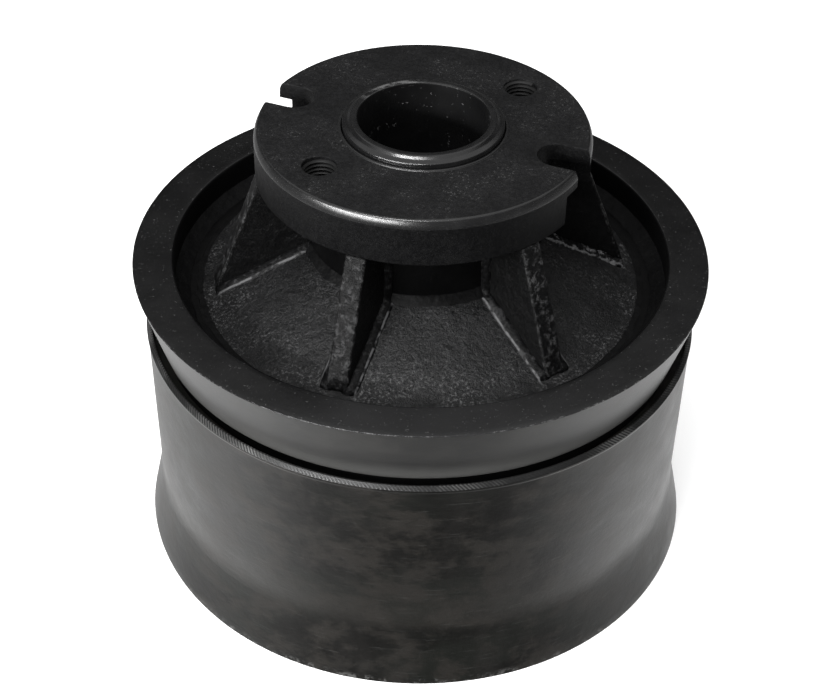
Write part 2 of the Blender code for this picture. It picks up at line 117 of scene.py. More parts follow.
# Hub details
TUBE_WALL = 0.012
SLEEVE_WALL = 0.0104
SLEEVE_CHAMFER = 0.0030
SLEEVE_SHELF = 0.0034      # nearly flat shoulder outside the sleeve's bevelled crown
LIP_STANDS = 0.0009        # the flange's own lip, round the sleeve
WINDOW_R = SLEEVE_R + 0.0016
WINDOW_CHAMFER = 0.0012
BEVEL_WIDTH = 0.0023
BEVEL_DEPTH = 0.0050
SEAL_LIP = 0.013
TAP_ANGLES = (38.0, 218.0)
TAP_PITCH_R = TUBE_R + 0.006
TAP_DEPTH = 0.028
THREAD_ROOT_R = 0.0119
THREAD_CREST_R = 0.0104
THREAD_PITCH = 0.003
SLOT_ANGLES = (159.0, 339.0)
SLOT_WIDTH = 0.028
SLOT_END_R = TUBE_R + 0.002
POCKET_WIDTH = 0.056
POCKET_ROOF = FACE - 0.012
POCKET_END_R = TUBE_R + 0.006
POCKET_CORNER = 0.007
OVERRUN = 0.010

# Ribs and welds
RIB_COUNT = 6
RIB_THICK = 0.015
RIB_FIRST = 8.4
RIB_TOE = 0.003
WELD_LEG = 0.0062
WELD_STOP = 0.0045         # how far short of a rib's toe its welds are started
RIB_WELD_HEAPS = (2.2, 1.0, 1.2, 0.7, 1.0, 1.3)   # how lumpy each rib's weld is
SCREW_COUNT = 6
SCREW_R = 0.0065
SCREW_FIRST = 30.0
SCREW_HEAD = 0.008
SCREW_SHANK_R = 0.004
SCREW_SOCKET_R = 0.0029
SCREW_SOCKET_DEPTH = 0.004
SCREW_SIDE_GAP = 0.0006
SCREW_SUNK = 0.0085        # depth of the cap's pockets for the heads
SCREW_DRILL = 0.040

# Wear
WORN_SIDE = (1.50, 1.75, 2.45, 2.70)       # the sleeve's rubbed arc, in radians round the axis
PAINTED_LIGHT_ARC = (-2.15, -1.75, -1.35, -0.95)     # the front arc of the rim's top, lightened there by painted light

TURNS = 256                # steps round a rim piece
FINE_TURNS = 480           # steps round a piece with a rough surface
VOXEL = 0.0011             # cell of the ribs' and their welds' meshes


# ---------------------------------------------------------------- finishes

class Reading:
    """A value or colour on its way through a finish. Arithmetic on it adds Math nodes."""

    def __init__(self, finish, socket):
        self.finish = finish
        self.socket = socket

    def maths(self, operation, *values):
        return self.finish.node("ShaderNodeMath", {"operation": operation}, dict(enumerate(values)))

    def __add__(self, other):
        return self.maths("ADD", self, other)

    __radd__ = __add__

    def __sub__(self, other):
        return self.maths("SUBTRACT", self, other)

    def __rsub__(self, other):
        return self.maths("SUBTRACT", other, self)

    def __mul__(self, other):
        return self.maths("MULTIPLY", self, other)

    __rmul__ = __mul__

    def __truediv__(self, other):
        return self.maths("DIVIDE", self, other)

    def wave(self):
        return self.maths("SINE", self)

    def between(self, low, high):
        """0 below low, 1 above high, smooth in between; the other way round if low is higher."""
        limits = {1: min(low, high), 2: max(low, high)}
        ends = {3: 0.0, 4: 1.0} if low < high else {3: 1.0, 4: 0.0}
        settings = {"interpolation_type": "SMOOTHSTEP"}
        return self.finish.node("ShaderNodeMapRange", settings, {0: self, **limits, **ends})


class Finish:
    """One material: a Principled shader and the nodes that vary it."""

    def __init__(self, name, **fixed):
        self.material = bpy.data.materials.new(name)
        self.material.use_nodes = True
        self.tree = self.material.node_tree
        self.shader = self.tree.nodes["Principled BSDF"]
        self.place = self.node("ShaderNodeTexCoord", {}, {}, "Object")
        self.shader.inputs["Metallic"].default_value = fixed.get("metallic", 0.0)
        self.shader.inputs["Specular IOR Level"].default_value = fixed.get("specular", 0.5)

    def node(self, kind, settings, inputs, output=0):
        made = self.tree.nodes.new(kind)
        for setting, value in settings.items():
            setattr(made, setting, value)
        for key, value in inputs.items():
            self.feed(made.inputs[key], value)
        return Reading(self, made.outputs[output])

    @staticmethod
    def set_stops(ramp, stops):
        for _ in range(len(stops) - len(ramp.elements)):
            ramp.elements.new(1.0)
        for element, (position, color) in zip(ramp.elements, stops):
            element.position = position
            element.color = (*color, 1.0)

    def feed(self, socket, value):
        if isinstance(value, Reading):
            self.tree.links.new(value.socket, socket)
        elif socket.type == "RGBA":
            socket.default_value = (*value[:3], 1.0)
        else:
            socket.default_value = value

    def noise(self, scale, detail=4.0, stretch=(1, 1, 1), rough=0.55):
        """Clouds of noise, scale to a metre, from 0 to 1."""
        place = self.node("ShaderNodeMapping", {}, {0: self.place, "Scale": stretch})
        inputs = {"Vector": place, "Scale": scale, "Detail": detail, "Roughness": rough}
        return self.node("ShaderNodeTexNoise", {}, inputs)

    def cells(self, scale):
        """Distance to the nearest of many scattered points."""
        return self.node("ShaderNodeTexVoronoi", {}, {"Vector": self.place, "Scale": scale})

    def axes(self):
        split = self.node("ShaderNodeSeparateXYZ", {}, {0: self.place}).socket.node
        return [Reading(self, socket) for socket in split.outputs]

    def radius(self):
        flat = self.node("ShaderNodeVectorMath", {"operation": "MULTIPLY"}, {0: self.place, 1: (1, 1, 0)})
        return self.node("ShaderNodeVectorMath", {"operation": "LENGTH"}, {0: flat}, "Value")

    def around(self):
        """The angle round the axis, in radians."""
        x, y, _ = self.axes()
        return self.node("ShaderNodeMath", {"operation": "ARCTAN2"}, {0: y, 1: x})

    def from_rib(self):
        """Distance across from the middle plane of the nearest rib."""
        step = math.tau / RIB_COUNT
        turned = self.around() - math.radians(RIB_FIRST) + step * RIB_COUNT * 2
        beside = turned.maths("PINGPONG", turned, step / 2)
        return beside.wave() * self.radius()

    def mix(self, factor, first, second):
        return self.node("ShaderNodeMix", {"data_type": "RGBA"}, {0: factor, 6: first, 7: second}, 2)

    def bump(self, height, distance, before=None):
        inputs = {"Height": height, "Distance": distance, "Strength": 1.0}
        if before:
            inputs["Normal"] = before
        return self.node("ShaderNodeBump", {}, inputs)

    def set(self, **values):
        for name, value in values.items():
            self.feed(self.shader.inputs[name.replace("_", " ").title()], value)
        return self.material


def within(reading, stops):
    """1 between the two inner stops, fading to 0 at the outer two."""
    rises, full, still_full, gone = stops
    return reading.between(rises, full) * reading.between(gone, still_full)


def black_paint(name, base, light, bumps, gloss):
    """Satin black paint over plate: a grain of dust and pin specks, and the plate's unevenness."""
    finish = Finish(name, specular=0.15)
    patches = finish.noise(22, 5)
    grain = finish.noise(650, 3, rough=0.7)
    specks = finish.noise(1400, 2, rough=0.8).between(0.66, 0.74)
    dust = (patches * 0.55 + grain * 0.65).between(0.45, 0.85)
    color = finish.mix(dust, base, light)
    color = finish.mix(specks * 0.5, color, [value * 3.0 for value in light])
    uneven = finish.bump(finish.noise(90, 4), bumps)
    normal = finish.bump(grain, bumps * 0.22, uneven)
    rough = gloss + dust * 0.12 + specks * 0.1
    return finish.set(Base_Color=color, Roughness=rough, Normal=normal)


def web_paint():
    """Black paint over the rolled dish: coarse grain, and a painted highlight line where each rib weld
    ends.
    """
    finish = Finish("web_paint", specular=0.4)
    patches = finish.noise(30, 5)
    coarse = finish.noise(230, 5, rough=0.7)
    grain = finish.noise(700, 4, rough=0.75)
    beside = finish.from_rib()
    radius = finish.radius()
    # painted highlight: a bright line at the toe of each rib weld, in patches
    weld_end = beside.between(0.0122, 0.0128) * beside.between(0.0142, 0.0134)
    glint_mask = weld_end * radius.between(TOE_R + 0.003, TOE_R) * finish.noise(150, 5).between(0.42, 0.56)
    outer = radius.between(WEB_R - 0.040, WEB_R - 0.008) * 0.5 + 0.3
    specks = finish.noise(520, 3, rough=0.8).between(0.54, 0.62) * patches.between(0.35, 0.6) * outer
    dust = (coarse * 0.45 + grain * 0.65).between(0.46, 0.72)
    color = finish.mix(dust, (0.0018, 0.0018, 0.0020), (0.0088, 0.0088, 0.0092))
    color = finish.mix(specks, color, (0.095, 0.095, 0.096))
    color = finish.mix(glint_mask * 0.9, color, (0.085, 0.085, 0.087))
    uneven = finish.bump(patches, 0.0012)
    rough = finish.bump(coarse, 0.0013, uneven)
    normal = finish.bump(grain, 0.00050, rough)
    return finish.set(Base_Color=color, Roughness=0.36 + dust * 0.14, Normal=normal)


def tread_steel():
    """Turned steel, blued and stained by heat, with scuffs, a chipped lower edge and a painted reflection
    in a lighter band above the flare.
    """
    finish = Finish("tread_steel", specular=0.5)
    _, _, height = finish.axes()
    stains = finish.noise(9, 5, (1, 1, 2.2))
    streaks = finish.noise(26, 4, (1, 1, 0.25), 0.6)
    mottle = finish.noise(34, 6, (1, 1, 1.6), 0.68)
    grain = finish.noise(900, 2, (1, 1, 0.25))
    lines = finish.noise(60, 3, (0.5, 0.5, 60))
    scratches = finish.noise(130, 4, (0.25, 0.25, 9), 0.7).between(0.62, 0.68)
    marks = finish.noise(75, 5, (1, 1, 1.5), 0.75).between(0.64, 0.72)
    chips = finish.noise(160, 5, rough=0.8).between(0.52, 0.60)
    edge = height.between(0.0060, 0.0008) * chips
    # painted reflection: a lighter band round the tread just above the flare
    band = height.between(FLARE_HEIGHT - 0.004, FLARE_HEIGHT + 0.006)
    band = band * height.between(FLARE_HEIGHT + 0.040, FLARE_HEIGHT + 0.012)
    green = finish.mix(stains.between(0.40, 0.60), (0.0029, 0.0027, 0.0023), (0.0052, 0.0058, 0.0046))
    color = finish.mix(mottle.between(0.44, 0.62), green, (0.0110, 0.0097, 0.0080))
    color = finish.mix(streaks.between(0.48, 0.68) * 0.6, color, (0.0098, 0.0090, 0.0080))
    color = finish.mix(band * 0.45, color, (0.0150, 0.0138, 0.0118))
    color = finish.mix(marks * 0.6, color, (0.0012, 0.0012, 0.0012))
    color = finish.mix(scratches * 0.22, color, (0.08, 0.08, 0.078))
    color = finish.mix(edge * 0.5, color, (0.12, 0.12, 0.116))
    rough = 0.23 + mottle * 0.20 + stains * 0.12 + streaks * 0.07 + edge * 0.2
    broad = finish.bump(mottle, 0.00040)
    turned = finish.bump(lines, 0.000020, broad)
    normal = finish.bump(grain, 0.000015, turned)
    return finish.set(Base_Color=color, Roughness=rough, Normal=normal)


def guide_steel():
    """The guide flange's bare turned flank, dull and a little stained, with painted light toward its
    lower edge.
    """
    finish = Finish("guide_steel", specular=0.5)
    _, _, height = finish.axes()
    mottle = finish.noise(22, 6, (1, 1, 1.8), 0.62)
    lines = finish.noise(50, 3, (0.5, 0.5, 70))
    grain = finish.noise(700, 3, rough=0.7)
    color = finish.mix(mottle.between(0.36, 0.68), (0.0125, 0.0125, 0.0122), (0.0200, 0.0196, 0.0185))
    # painted light: the flank is lightened toward its lower edge, standing in for the reflection lost
    # over the groove
    low = height.between(GUIDE_LOW + 0.018, GUIDE_LOW + 0.002)
    color = finish.mix(low * 0.8, color, (0.060, 0.060, 0.058))
    color = finish.mix(grain.between(0.62, 0.72) * 0.4, color, (0.040, 0.040, 0.040))
    broad = finish.bump(mottle, 0.00030)
    turned = finish.bump(lines, 0.000030, broad)
    normal = finish.bump(grain, 0.000040, turned)
    return finish.set(Base_Color=color, Roughness=0.40 + mottle * 0.14, Normal=normal)


def rim_top_paint():
    """Smooth black paint on the rim's top, rubbed along its outer edge, with a few pin specks and painted
    light across its front.
    """
    finish = Finish("rim_top_paint", specular=0.5)
    radius = finish.radius()
    mottle = finish.noise(26, 6, rough=0.62)
    grain = finish.noise(620, 4, rough=0.75)
    specks = finish.noise(420, 3, rough=0.8).between(0.645, 0.68)
    chips = finish.noise(210, 5, rough=0.8).between(0.50, 0.60)
    rim = radius.between(GUIDE_R - 0.0012, GUIDE_R - 0.0004)
    # painted light: the front arc of the rim's top is painted lighter
    front_light = within(finish.around(), PAINTED_LIGHT_ARC)
    color = finish.mix(mottle.between(0.36, 0.68), (0.0022, 0.0022, 0.0023), (0.0042, 0.0042, 0.0043))
    color = finish.mix(grain.between(0.55, 0.72) * 0.5, color, (0.0100, 0.0100, 0.0102))
    color = finish.mix(front_light * (0.7 + mottle * 0.4), color, (0.0150, 0.0150, 0.0152))
    color = finish.mix(specks * 0.5, color, (0.09, 0.09, 0.09))
    color = finish.mix(rim * chips * 0.5, color, (0.10, 0.10, 0.10))
    normal = finish.bump(grain, 0.000045, finish.bump(mottle, 0.00020))
    return finish.set(Base_Color=color, Roughness=0.18 + mottle * 0.08, Normal=normal)


def lip_steel():
    """The turned lip, with slanting chatter marks from its cutter, and a painted highlight along them in
    patches.
    """
    finish = Finish("lip_steel", metallic=0.6)
    _, _, height = finish.axes()
    slant = (finish.around() * 460 + height * 3200).wave()
    # painted highlight: the slanting hatch is painted bright where these patches fall
    glint_mask = finish.noise(11, 4).between(0.50, 0.62)
    color = finish.mix(slant.between(-0.6, 0.8) * glint_mask, (0.022, 0.022, 0.022), (0.12, 0.12, 0.118))
    normal = finish.bump(slant, 0.00006)
    return finish.set(Base_Color=color, Roughness=0.30 + glint_mask * 0.06, Normal=normal)


def flange_paint():
    """The hub flange's black paint: dust and pits on its face, darker down its side."""
    finish = Finish("flange_paint", specular=0.16)
    _, _, height = finish.axes()
    patches = finish.noise(24, 5)
    coarse = finish.noise(300, 5, rough=0.7)
    grain = finish.noise(800, 3, rough=0.75)
    specks = finish.noise(520, 3, rough=0.8).between(0.58, 0.66) * patches.between(0.44, 0.58)
    pits = finish.cells(240).between(0.20, 0.05) * finish.noise(50, 3).between(0.50, 0.62)
    dust = (patches * 0.3 + coarse * 0.4 + grain * 0.45).between(0.48, 0.70)
    upward = height.between(FACE - 0.0012, FACE - 0.0002)
    color = finish.mix(dust, (0.0022, 0.0022, 0.0024), (0.0050, 0.0050, 0.0052))
    color = finish.mix(upward * (0.25 + dust * 0.50), color, (0.0132, 0.0132, 0.0136))
    color = finish.mix(specks * upward * 0.6, color, (0.068, 0.068, 0.068))
    uneven = finish.bump(coarse, 0.00028, finish.bump(patches, 0.0006))
    pitted = finish.bump(pits, 0.00020, uneven)
    normal = finish.bump(grain, 0.00012, pitted)
    return finish.set(Base_Color=color, Roughness=0.40 + dust * 0.14, Normal=normal)


def rubbed_edge():
    """A bevel rubbed smooth, so that it shines along its length."""
    finish = Finish("rubbed_edge", specular=0.8)
    wear = finish.noise(70, 5, rough=0.6)
    grain = finish.noise(800, 3, rough=0.7)
    color = finish.mix(wear.between(0.35, 0.65), (0.006, 0.006, 0.0062), (0.009, 0.009, 0.0092))
    normal = finish.bump(grain, 0.00004, finish.bump(wear, 0.00004))
    return finish.set(Base_Color=color, Roughness=0.24 + wear * 0.05, Normal=normal)


def sleeve_steel():
    """Ground steel under thin black, smooth on its chamfer, with the black rubbed off at one side."""
    finish = Finish("sleeve_steel", specular=1.0)
    _, _, height = finish.axes()
    wear = finish.noise(75, 6, rough=0.7)
    grain = finish.noise(800, 3, (1, 1, 0.4))
    rings = finish.noise(40, 2, (0.3, 0.3, 90))
    crown = height.between(SLEEVE_TOP - 0.0016, SLEEVE_TOP - 0.0006)
    side = within(finish.around(), WORN_SIDE)
    bare = crown * side * wear.between(0.44, 0.56)
    color = finish.mix(wear.between(0.3, 0.7), (0.0028, 0.0028, 0.0030), (0.0062, 0.0062, 0.0064))
    color = finish.mix(bare * 0.8, color, (0.11, 0.11, 0.11))
    normal = finish.bump(grain, 0.00004, finish.bump(rings, 0.00002))
    return finish.set(Base_Color=color, Roughness=0.20 + wear * 0.08, Normal=normal)


def bore_steel():
    """The sleeve's bore: black, with a few bright flecks."""
    finish = Finish("bore_steel", specular=0.25)
    tarnish = finish.noise(35, 5)
    flecks = finish.noise(230, 3, rough=0.8).between(0.64, 0.68) * finish.noise(30, 3).between(0.40, 0.56)
    color = finish.mix(tarnish.between(0.3, 0.7), (0.0016, 0.0016, 0.0017), (0.0034, 0.0034, 0.0036))
    color = finish.mix(flecks * 0.55, color, (0.14, 0.14, 0.14))
    rings = finish.bump(finish.noise(40, 2, (0.3, 0.3, 90)), 0.00002)
    return finish.set(Base_Color=color, Roughness=0.42 + tarnish * 0.1, Normal=rings)


def weld_metal(name, bright, line):
    """Painted weld: ripples, and painted highlights on some crests and along a line where it meets the
    web.
    """
    finish = Finish(name, specular=0.12)
    lumps = finish.noise(210, 5, rough=0.7)
    ripples = finish.noise(520, 3)
    beside = finish.from_rib()
    # painted highlights: a bright line at the weld's toe and bright crests; bright and line set how much
    # of each
    end_line = beside.between(0.0123, 0.0127) * beside.between(0.0138, 0.0132)
    end_line = end_line * finish.noise(120, 4).between(0.38, 0.52) * line
    crests = finish.noise(170, 5, rough=0.75).between(0.52, 0.62) * bright
    shine = end_line.maths("MAXIMUM", end_line, crests)
    color = finish.mix(lumps.between(0.35, 0.7), (0.0016, 0.0016, 0.0017), (0.0052, 0.0052, 0.0055))
    color = finish.mix(shine, color, (0.13, 0.13, 0.133))
    normal = finish.bump(ripples, 0.00030, finish.bump(lumps, 0.0006))
    return finish.set(Base_Color=color, Roughness=0.44 - shine * 0.10, Normal=normal)


def cut_paint():
    """Black paint over flame-cut plate: drag lines and slag down the cut edge, grain on the sides."""
    finish = Finish("cut_paint", specular=0.22)
    radius = finish.radius()
    _, _, height = finish.axes()
    beyond = height - (UNDER - (radius - FLANGE_R) * (UNDER - TOE_Z) / (TOE_R - FLANGE_R))
    cut_face = beyond.between(-0.006, -0.002)
    grain = finish.noise(650, 4, rough=0.75)
    slag = finish.noise(190, 6, rough=0.75)
    lit = cut_face * slag.between(0.50, 0.62)
    dust = (slag * 0.4 + grain * 0.65).between(0.45, 0.72)
    color = finish.mix(dust * (cut_face * 0.8 + 0.2), (0.0009, 0.0009, 0.0010), (0.0065, 0.0065, 0.0068))
    color = finish.mix(lit * 0.5, color, (0.060, 0.060, 0.061))
    dragged = finish.bump(slag, 0.0009)
    normal = finish.bump(grain, 0.00030, dragged)
    return finish.set(Base_Color=color, Roughness=0.42 + dust * 0.12, Normal=normal)


def machined(name, dark, light, metallic, gloss):
    """A turned metal: fine rings, a little tarnish and a few scratches."""
    finish = Finish(name, metallic=metallic)
    tarnish = finish.noise(30, 5)
    rings = finish.noise(60, 3, (0.4, 0.4, 60))
    scratches = finish.noise(300, 4, (0.2, 1, 4), 0.7).between(0.62, 0.70)
    color = finish.mix(tarnish.between(0.3, 0.7), dark, light)
    color = finish.mix(scratches * 0.3, color, [value * 0.5 for value in dark])
    normal = finish.bump(finish.noise(700, 2), 0.000015, finish.bump(rings, 0.00002))
    return finish.set(Base_Color=color, Roughness=gloss + tarnish * 0.14, Normal=normal)


def moulded_rubber():
    """Black rubber with a faint bloom."""
    finish = Finish("moulded_rubber", specular=0.35)
    bloom = finish.noise(55, 4)
    grain = finish.noise(1200, 2)
    color = finish.mix(bloom.between(0.4, 0.75), (0.010, 0.010, 0.010), (0.028, 0.028, 0.027))
    return finish.set(Base_Color=color, Roughness=0.62 + bloom * 0.15, Normal=finish.bump(grain, 0.00003))


# ---------------------------------------------------------------- shop work

def let_go():
    if bpy.context.mode != "OBJECT":
        bpy.ops.object.mode_set(mode="OBJECT")
    bpy.ops.object.select_all(action="DESELECT")


def take(piece):
    let_go()
    piece.select_set(True)
    bpy.context.view_layer.objects.active = piece


def draw_outline(name, points):
    """A closed chain of edges in the XZ plane, drawn out from one point, left in edit mode."""
    let_go()
    bpy.ops.mesh.primitive_plane_add(size=0.001)
    piece = bpy.context.object
    piece.name = name
    bpy.ops.object.mode_set(mode="EDIT")
    bpy.ops.mesh.merge(type="CENTER")
    route = [Vector((x, 0, z)) for x, z in points]
    bpy.ops.transform.translate(value=route[0])
    for here, there in zip(route, route[1:] + route[:1]):
        bpy.ops.mesh.extrude_vertices_move(TRANSFORM_OT_translate={"value": there - here})
    bpy.ops.mesh.select_all(action="SELECT")
    bpy.ops.mesh.remove_doubles(threshold=1e-7)
    return piece


def face_outwards(piece, smooth=35):
    if bpy.context.mode != "EDIT_MESH":
        take(piece)
        bpy.ops.object.mode_set(mode="EDIT")
    bpy.ops.mesh.select_all(action="SELECT")
    bpy.ops.mesh.remove_doubles(threshold=1e-6)
    bpy.ops.mesh.normals_make_consistent(inside=False)
    bpy.ops.object.mode_set(mode="OBJECT")
    bpy.ops.object.shade_smooth_by_angle(angle=math.radians(smooth))


def turned(name, points, turns=TURNS, smooth=35):
    """Lathe work: the closed outline of (radius, height) points swept round the axis."""
    piece = draw_outline(name, points)
    finish_modifier(
        piece, "SCREW", axis="Z", angle=math.tau, steps=turns, render_steps=turns,
        use_merge_vertices=True, merge_threshold=1e-6, use_smooth_shade=True,
    )
    face_outwards(piece, smooth)
    return piece


def plate(name, points, thick):
    """A closed outline in the XZ plane, filled and drawn out to a thickness across Y."""
    piece = draw_outline(name, points)
    bpy.ops.mesh.edge_face_add()
    bpy.ops.transform.translate(value=(0, -thick / 2, 0))
    bpy.ops.mesh.extrude_region_move(TRANSFORM_OT_translate={"value": (0, thick, 0)})
    face_outwards(piece)
    return piece


def eased(corners, steps=5):
    """Points of a closed outline whose (radius, height, ease) corners are rounded."""
    points = []
    for index, (x, z, ease) in enumerate(corners):
        here = Vector((x, z))
        back = Vector(corners[index - 1][:2])
        ahead = Vector(corners[(index + 1) % len(corners)][:2])
        if not ease:
            points.append(here)
            continue
        enter = here + (back - here).normalized() * ease
        leave = here + (ahead - here).normalized() * ease
        for step in range(steps + 1):
            part = step / steps
            points.append(enter * (1 - part) ** 2 + here * 2 * part * (1 - part) + leave * part ** 2)
    return points


def spaced(points, gap):
    """The same closed outline with more points, so that no side is longer than the gap."""
    finer = []
    for here, there in zip(points, points[1:] + points[:1]):
        parts = max(1, math.ceil((Vector(there) - Vector(here)).length / gap))
        finer += [Vector(here).lerp(Vector(there), part / parts) for part in range(parts)]
    return finer


def finish_modifier(piece, kind, **settings):
    take(piece)
    modifier = piece.modifiers.new(kind.lower(), kind)
    for setting, value in settings.items():
        setattr(modifier, setting, value)
    bpy.ops.object.modifier_apply(modifier=modifier.name)


def roughen(piece, size, height):
    """Push the surface in and out by clouds of one size."""
    pattern = bpy.data.textures.new(f"clouds_{size}", "CLOUDS")
    pattern.noise_scale = size
    pattern.noise_depth = 2
    finish_modifier(
        piece, "DISPLACE", texture=pattern, texture_coords="LOCAL", strength=height, mid_level=0.5,
    )


def turn_about_axis(piece, degrees, radius=0.0):
    """Move a piece made at angle zero to its place, and keep the place in its mesh."""
    turn = Matrix.Rotation(math.radians(degrees), 4, "Z") @ Matrix.Translation((radius, 0, 0))
    piece.data.transform(turn)


def joined(name, pieces):
    take(pieces[0])
    for piece in pieces:
        piece.select_set(True)
    bpy.ops.object.join()
    pieces[0].name = name
    return pieces[0]


def fit(piece, material, body, slot, *nodes):
    """Give a piece its finish and its body, and hide the CAD nodes that it stands for."""
    piece.data.materials.clear()
    piece.data.materials.append(material)
    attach(piece, body)
    if nodes:
        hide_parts(*nodes)


def extra_finish(piece, material, where):
    """Give another finish to the faces whose centres are in some place."""
    piece.data.materials.append(material)
    for face in piece.data.polygons:
        if where(face.center):
            face.material_index = len(piece.data.materials) - 1


def drill(radius, depth, middle, angle, pitch, sides):
    """A cylinder along Z, its middle at one height, set on a pitch radius."""
    let_go()
    bpy.ops.mesh.primitive_cylinder_add(vertices=sides, radius=radius, depth=depth)
    bit = bpy.context.object
    bit.data.transform(Matrix.Translation((0, 0, middle)))
    turn_about_axis(bit, angle, pitch)
    return bit


def cut(piece, cutter):
    finish_modifier(piece, "BOOLEAN", operation="DIFFERENCE", solver="EXACT", object=cutter)
    bpy.data.objects.remove(cutter)


# ---------------------------------------------------------------- rim

def make_tread(look):
    bore = TREAD_R - TYRE_WALL
    low_r = TREAD_R - TREAD_TAPER
    slope = FLARE_RISE / FLARE_HEIGHT
    lip_r = TREAD_R + LIP_RISE
    land_r = lip_r - LIP_CHAMFER - LIP_LAND
    corners = [
        (bore, TYRE_LIFT, 0.0015),
        (FLARE_R, TYRE_LIFT, 0.0009),
        (low_r + slope * FLARE_BLEND, FLARE_HEIGHT - FLARE_BLEND, 0.012),
        (low_r, FLARE_HEIGHT + FLARE_BLEND / 3, 0.007),
        (TREAD_R, TYRE_TOP - LIP_CHAMFER - LIP_BAND - LIP_RISE * 2, 0.0004),
        (lip_r, TYRE_TOP - LIP_CHAMFER - LIP_BAND, 0.0004),
        (lip_r, TYRE_TOP - LIP_CHAMFER, 0.0003),
        (lip_r - LIP_CHAMFER, TYRE_TOP, 0.0003),
        (land_r, TYRE_TOP, 0.0003),
        (land_r, TYRE_TOP - GROOVE_DEPTH, 0.0012),
        (bore, TYRE_TOP - GROOVE_DEPTH, 0.0004),
    ]
    tread = turned("tread_tyre_turned", spaced(eased(corners), 0.006), FINE_TURNS)
    roughen(tread, 0.05, 0.00022)
    fit(tread, look["tread"], "wheel", "tread_steel", "tread_tyre")
    chamfer = TYRE_TOP - LIP_CHAMFER - 0.0001
    extra_finish(tread, look["lip"], lambda spot: spot.z > chamfer and spot.xy.length > land_r)


def make_guide_flange(look):
    base_r = TREAD_R - GUIDE_UNDERCUT
    wall = WALL_R + SEAT
    corners = [
        (wall, GUIDE_LOW, 0),
        (base_r, GUIDE_LOW, 0.0008),
        (GUIDE_R, RIM_TOP, 0.0007),
        (wall, RIM_TOP, GUIDE_CHAMFER),
    ]
    guide = turned("guide_flange_turned", spaced(eased(corners), 0.004), FINE_TURNS)
    roughen(guide, 0.03, 0.00018)
    fit(guide, look["guide"], "wheel", "black_paint", "guide_flange_ring")
    extra_finish(guide, look["rim_top"], lambda spot: spot.z > RIM_TOP - 0.0012)
    extra_finish(guide, look["paint"], lambda spot: spot.xy.length < wall + 0.0015)


def make_rim_core(look):
    wall = WALL_R + SEAT
    corners = [
        (wall, CORE_LOW, 0.0015),
        (CORE_R, CORE_LOW, 0.0010),
        (CORE_R, CORE_TOP, 0.0005),
        (wall, CORE_TOP, 0.0005),
    ]
    core = turned("rim_core_rolled", spaced(eased(corners), 0.006), TURNS)
    roughen(core, 0.03, 0.00018)
    fit(core, look["paint"], "wheel", "black_paint", "rim_core")


# ---------------------------------------------------------------- webs and ribs

def web_height(radius):
    """Top of the dish at a radius between the tube and the ribs' toes."""
    return TOE_Z + (TOE_R - radius) * WEB_FALL


def make_web(look):
    inner = TUBE_R + SEAT
    seat = WEB_EDGE - WEB_THICK
    corners = [
        (inner, web_height(inner), 0),
        (TOE_R, TOE_Z, 0.004),
        (WEB_R, WEB_EDGE, 0.0012),
        (WEB_R, seat, 0.0005),
        (WEB_R - WEB_SEAT, seat, 0),
        (inner, web_height(inner) - WEB_THICK, 0),
    ]
    web = turned("web_dish_pressed", spaced(eased(corners), 0.0024), FINE_TURNS)
    roughen(web, 0.022, 0.0012)
    roughen(web, 0.005, 0.00055)
    fit(web, look["web"], "wheel", "black_paint", "upper_web_plate")


def make_ledge_ring(look):
    inner = WALL_R + SEAT - LEDGE_WIDTH
    seat = WEB_EDGE - WEB_THICK - SEAT
    corners = [
        (WEB_R - WEB_SEAT, LEDGE_LOW, 0.001),
        (WALL_R, LEDGE_LOW, 0),
        (WALL_R, LEDGE_TOP, 0),
        (inner, LEDGE_TOP, 0.0012),
        (inner, seat, 0),
        (WEB_R - WEB_SEAT, seat, 0.0005),
    ]
    ring = turned("ledge_ring_rolled", spaced(eased(corners), 0.003), FINE_TURNS)
    roughen(ring, 0.02, 0.0006)
    fit(ring, look["paint"], "wheel", "black_paint", "web_backing_ring")


def ring_weld(name, corners, look):
    """A run of weld in the corner between two round pieces."""
    weld = turned(name, spaced(eased(corners, 4), 0.0012), FINE_TURNS, smooth=80)
    roughen(weld, 0.011, 0.0012)
    roughen(weld, 0.0035, 0.0006)
    fit(weld, look["ring_weld"], "wheel", "black_paint")


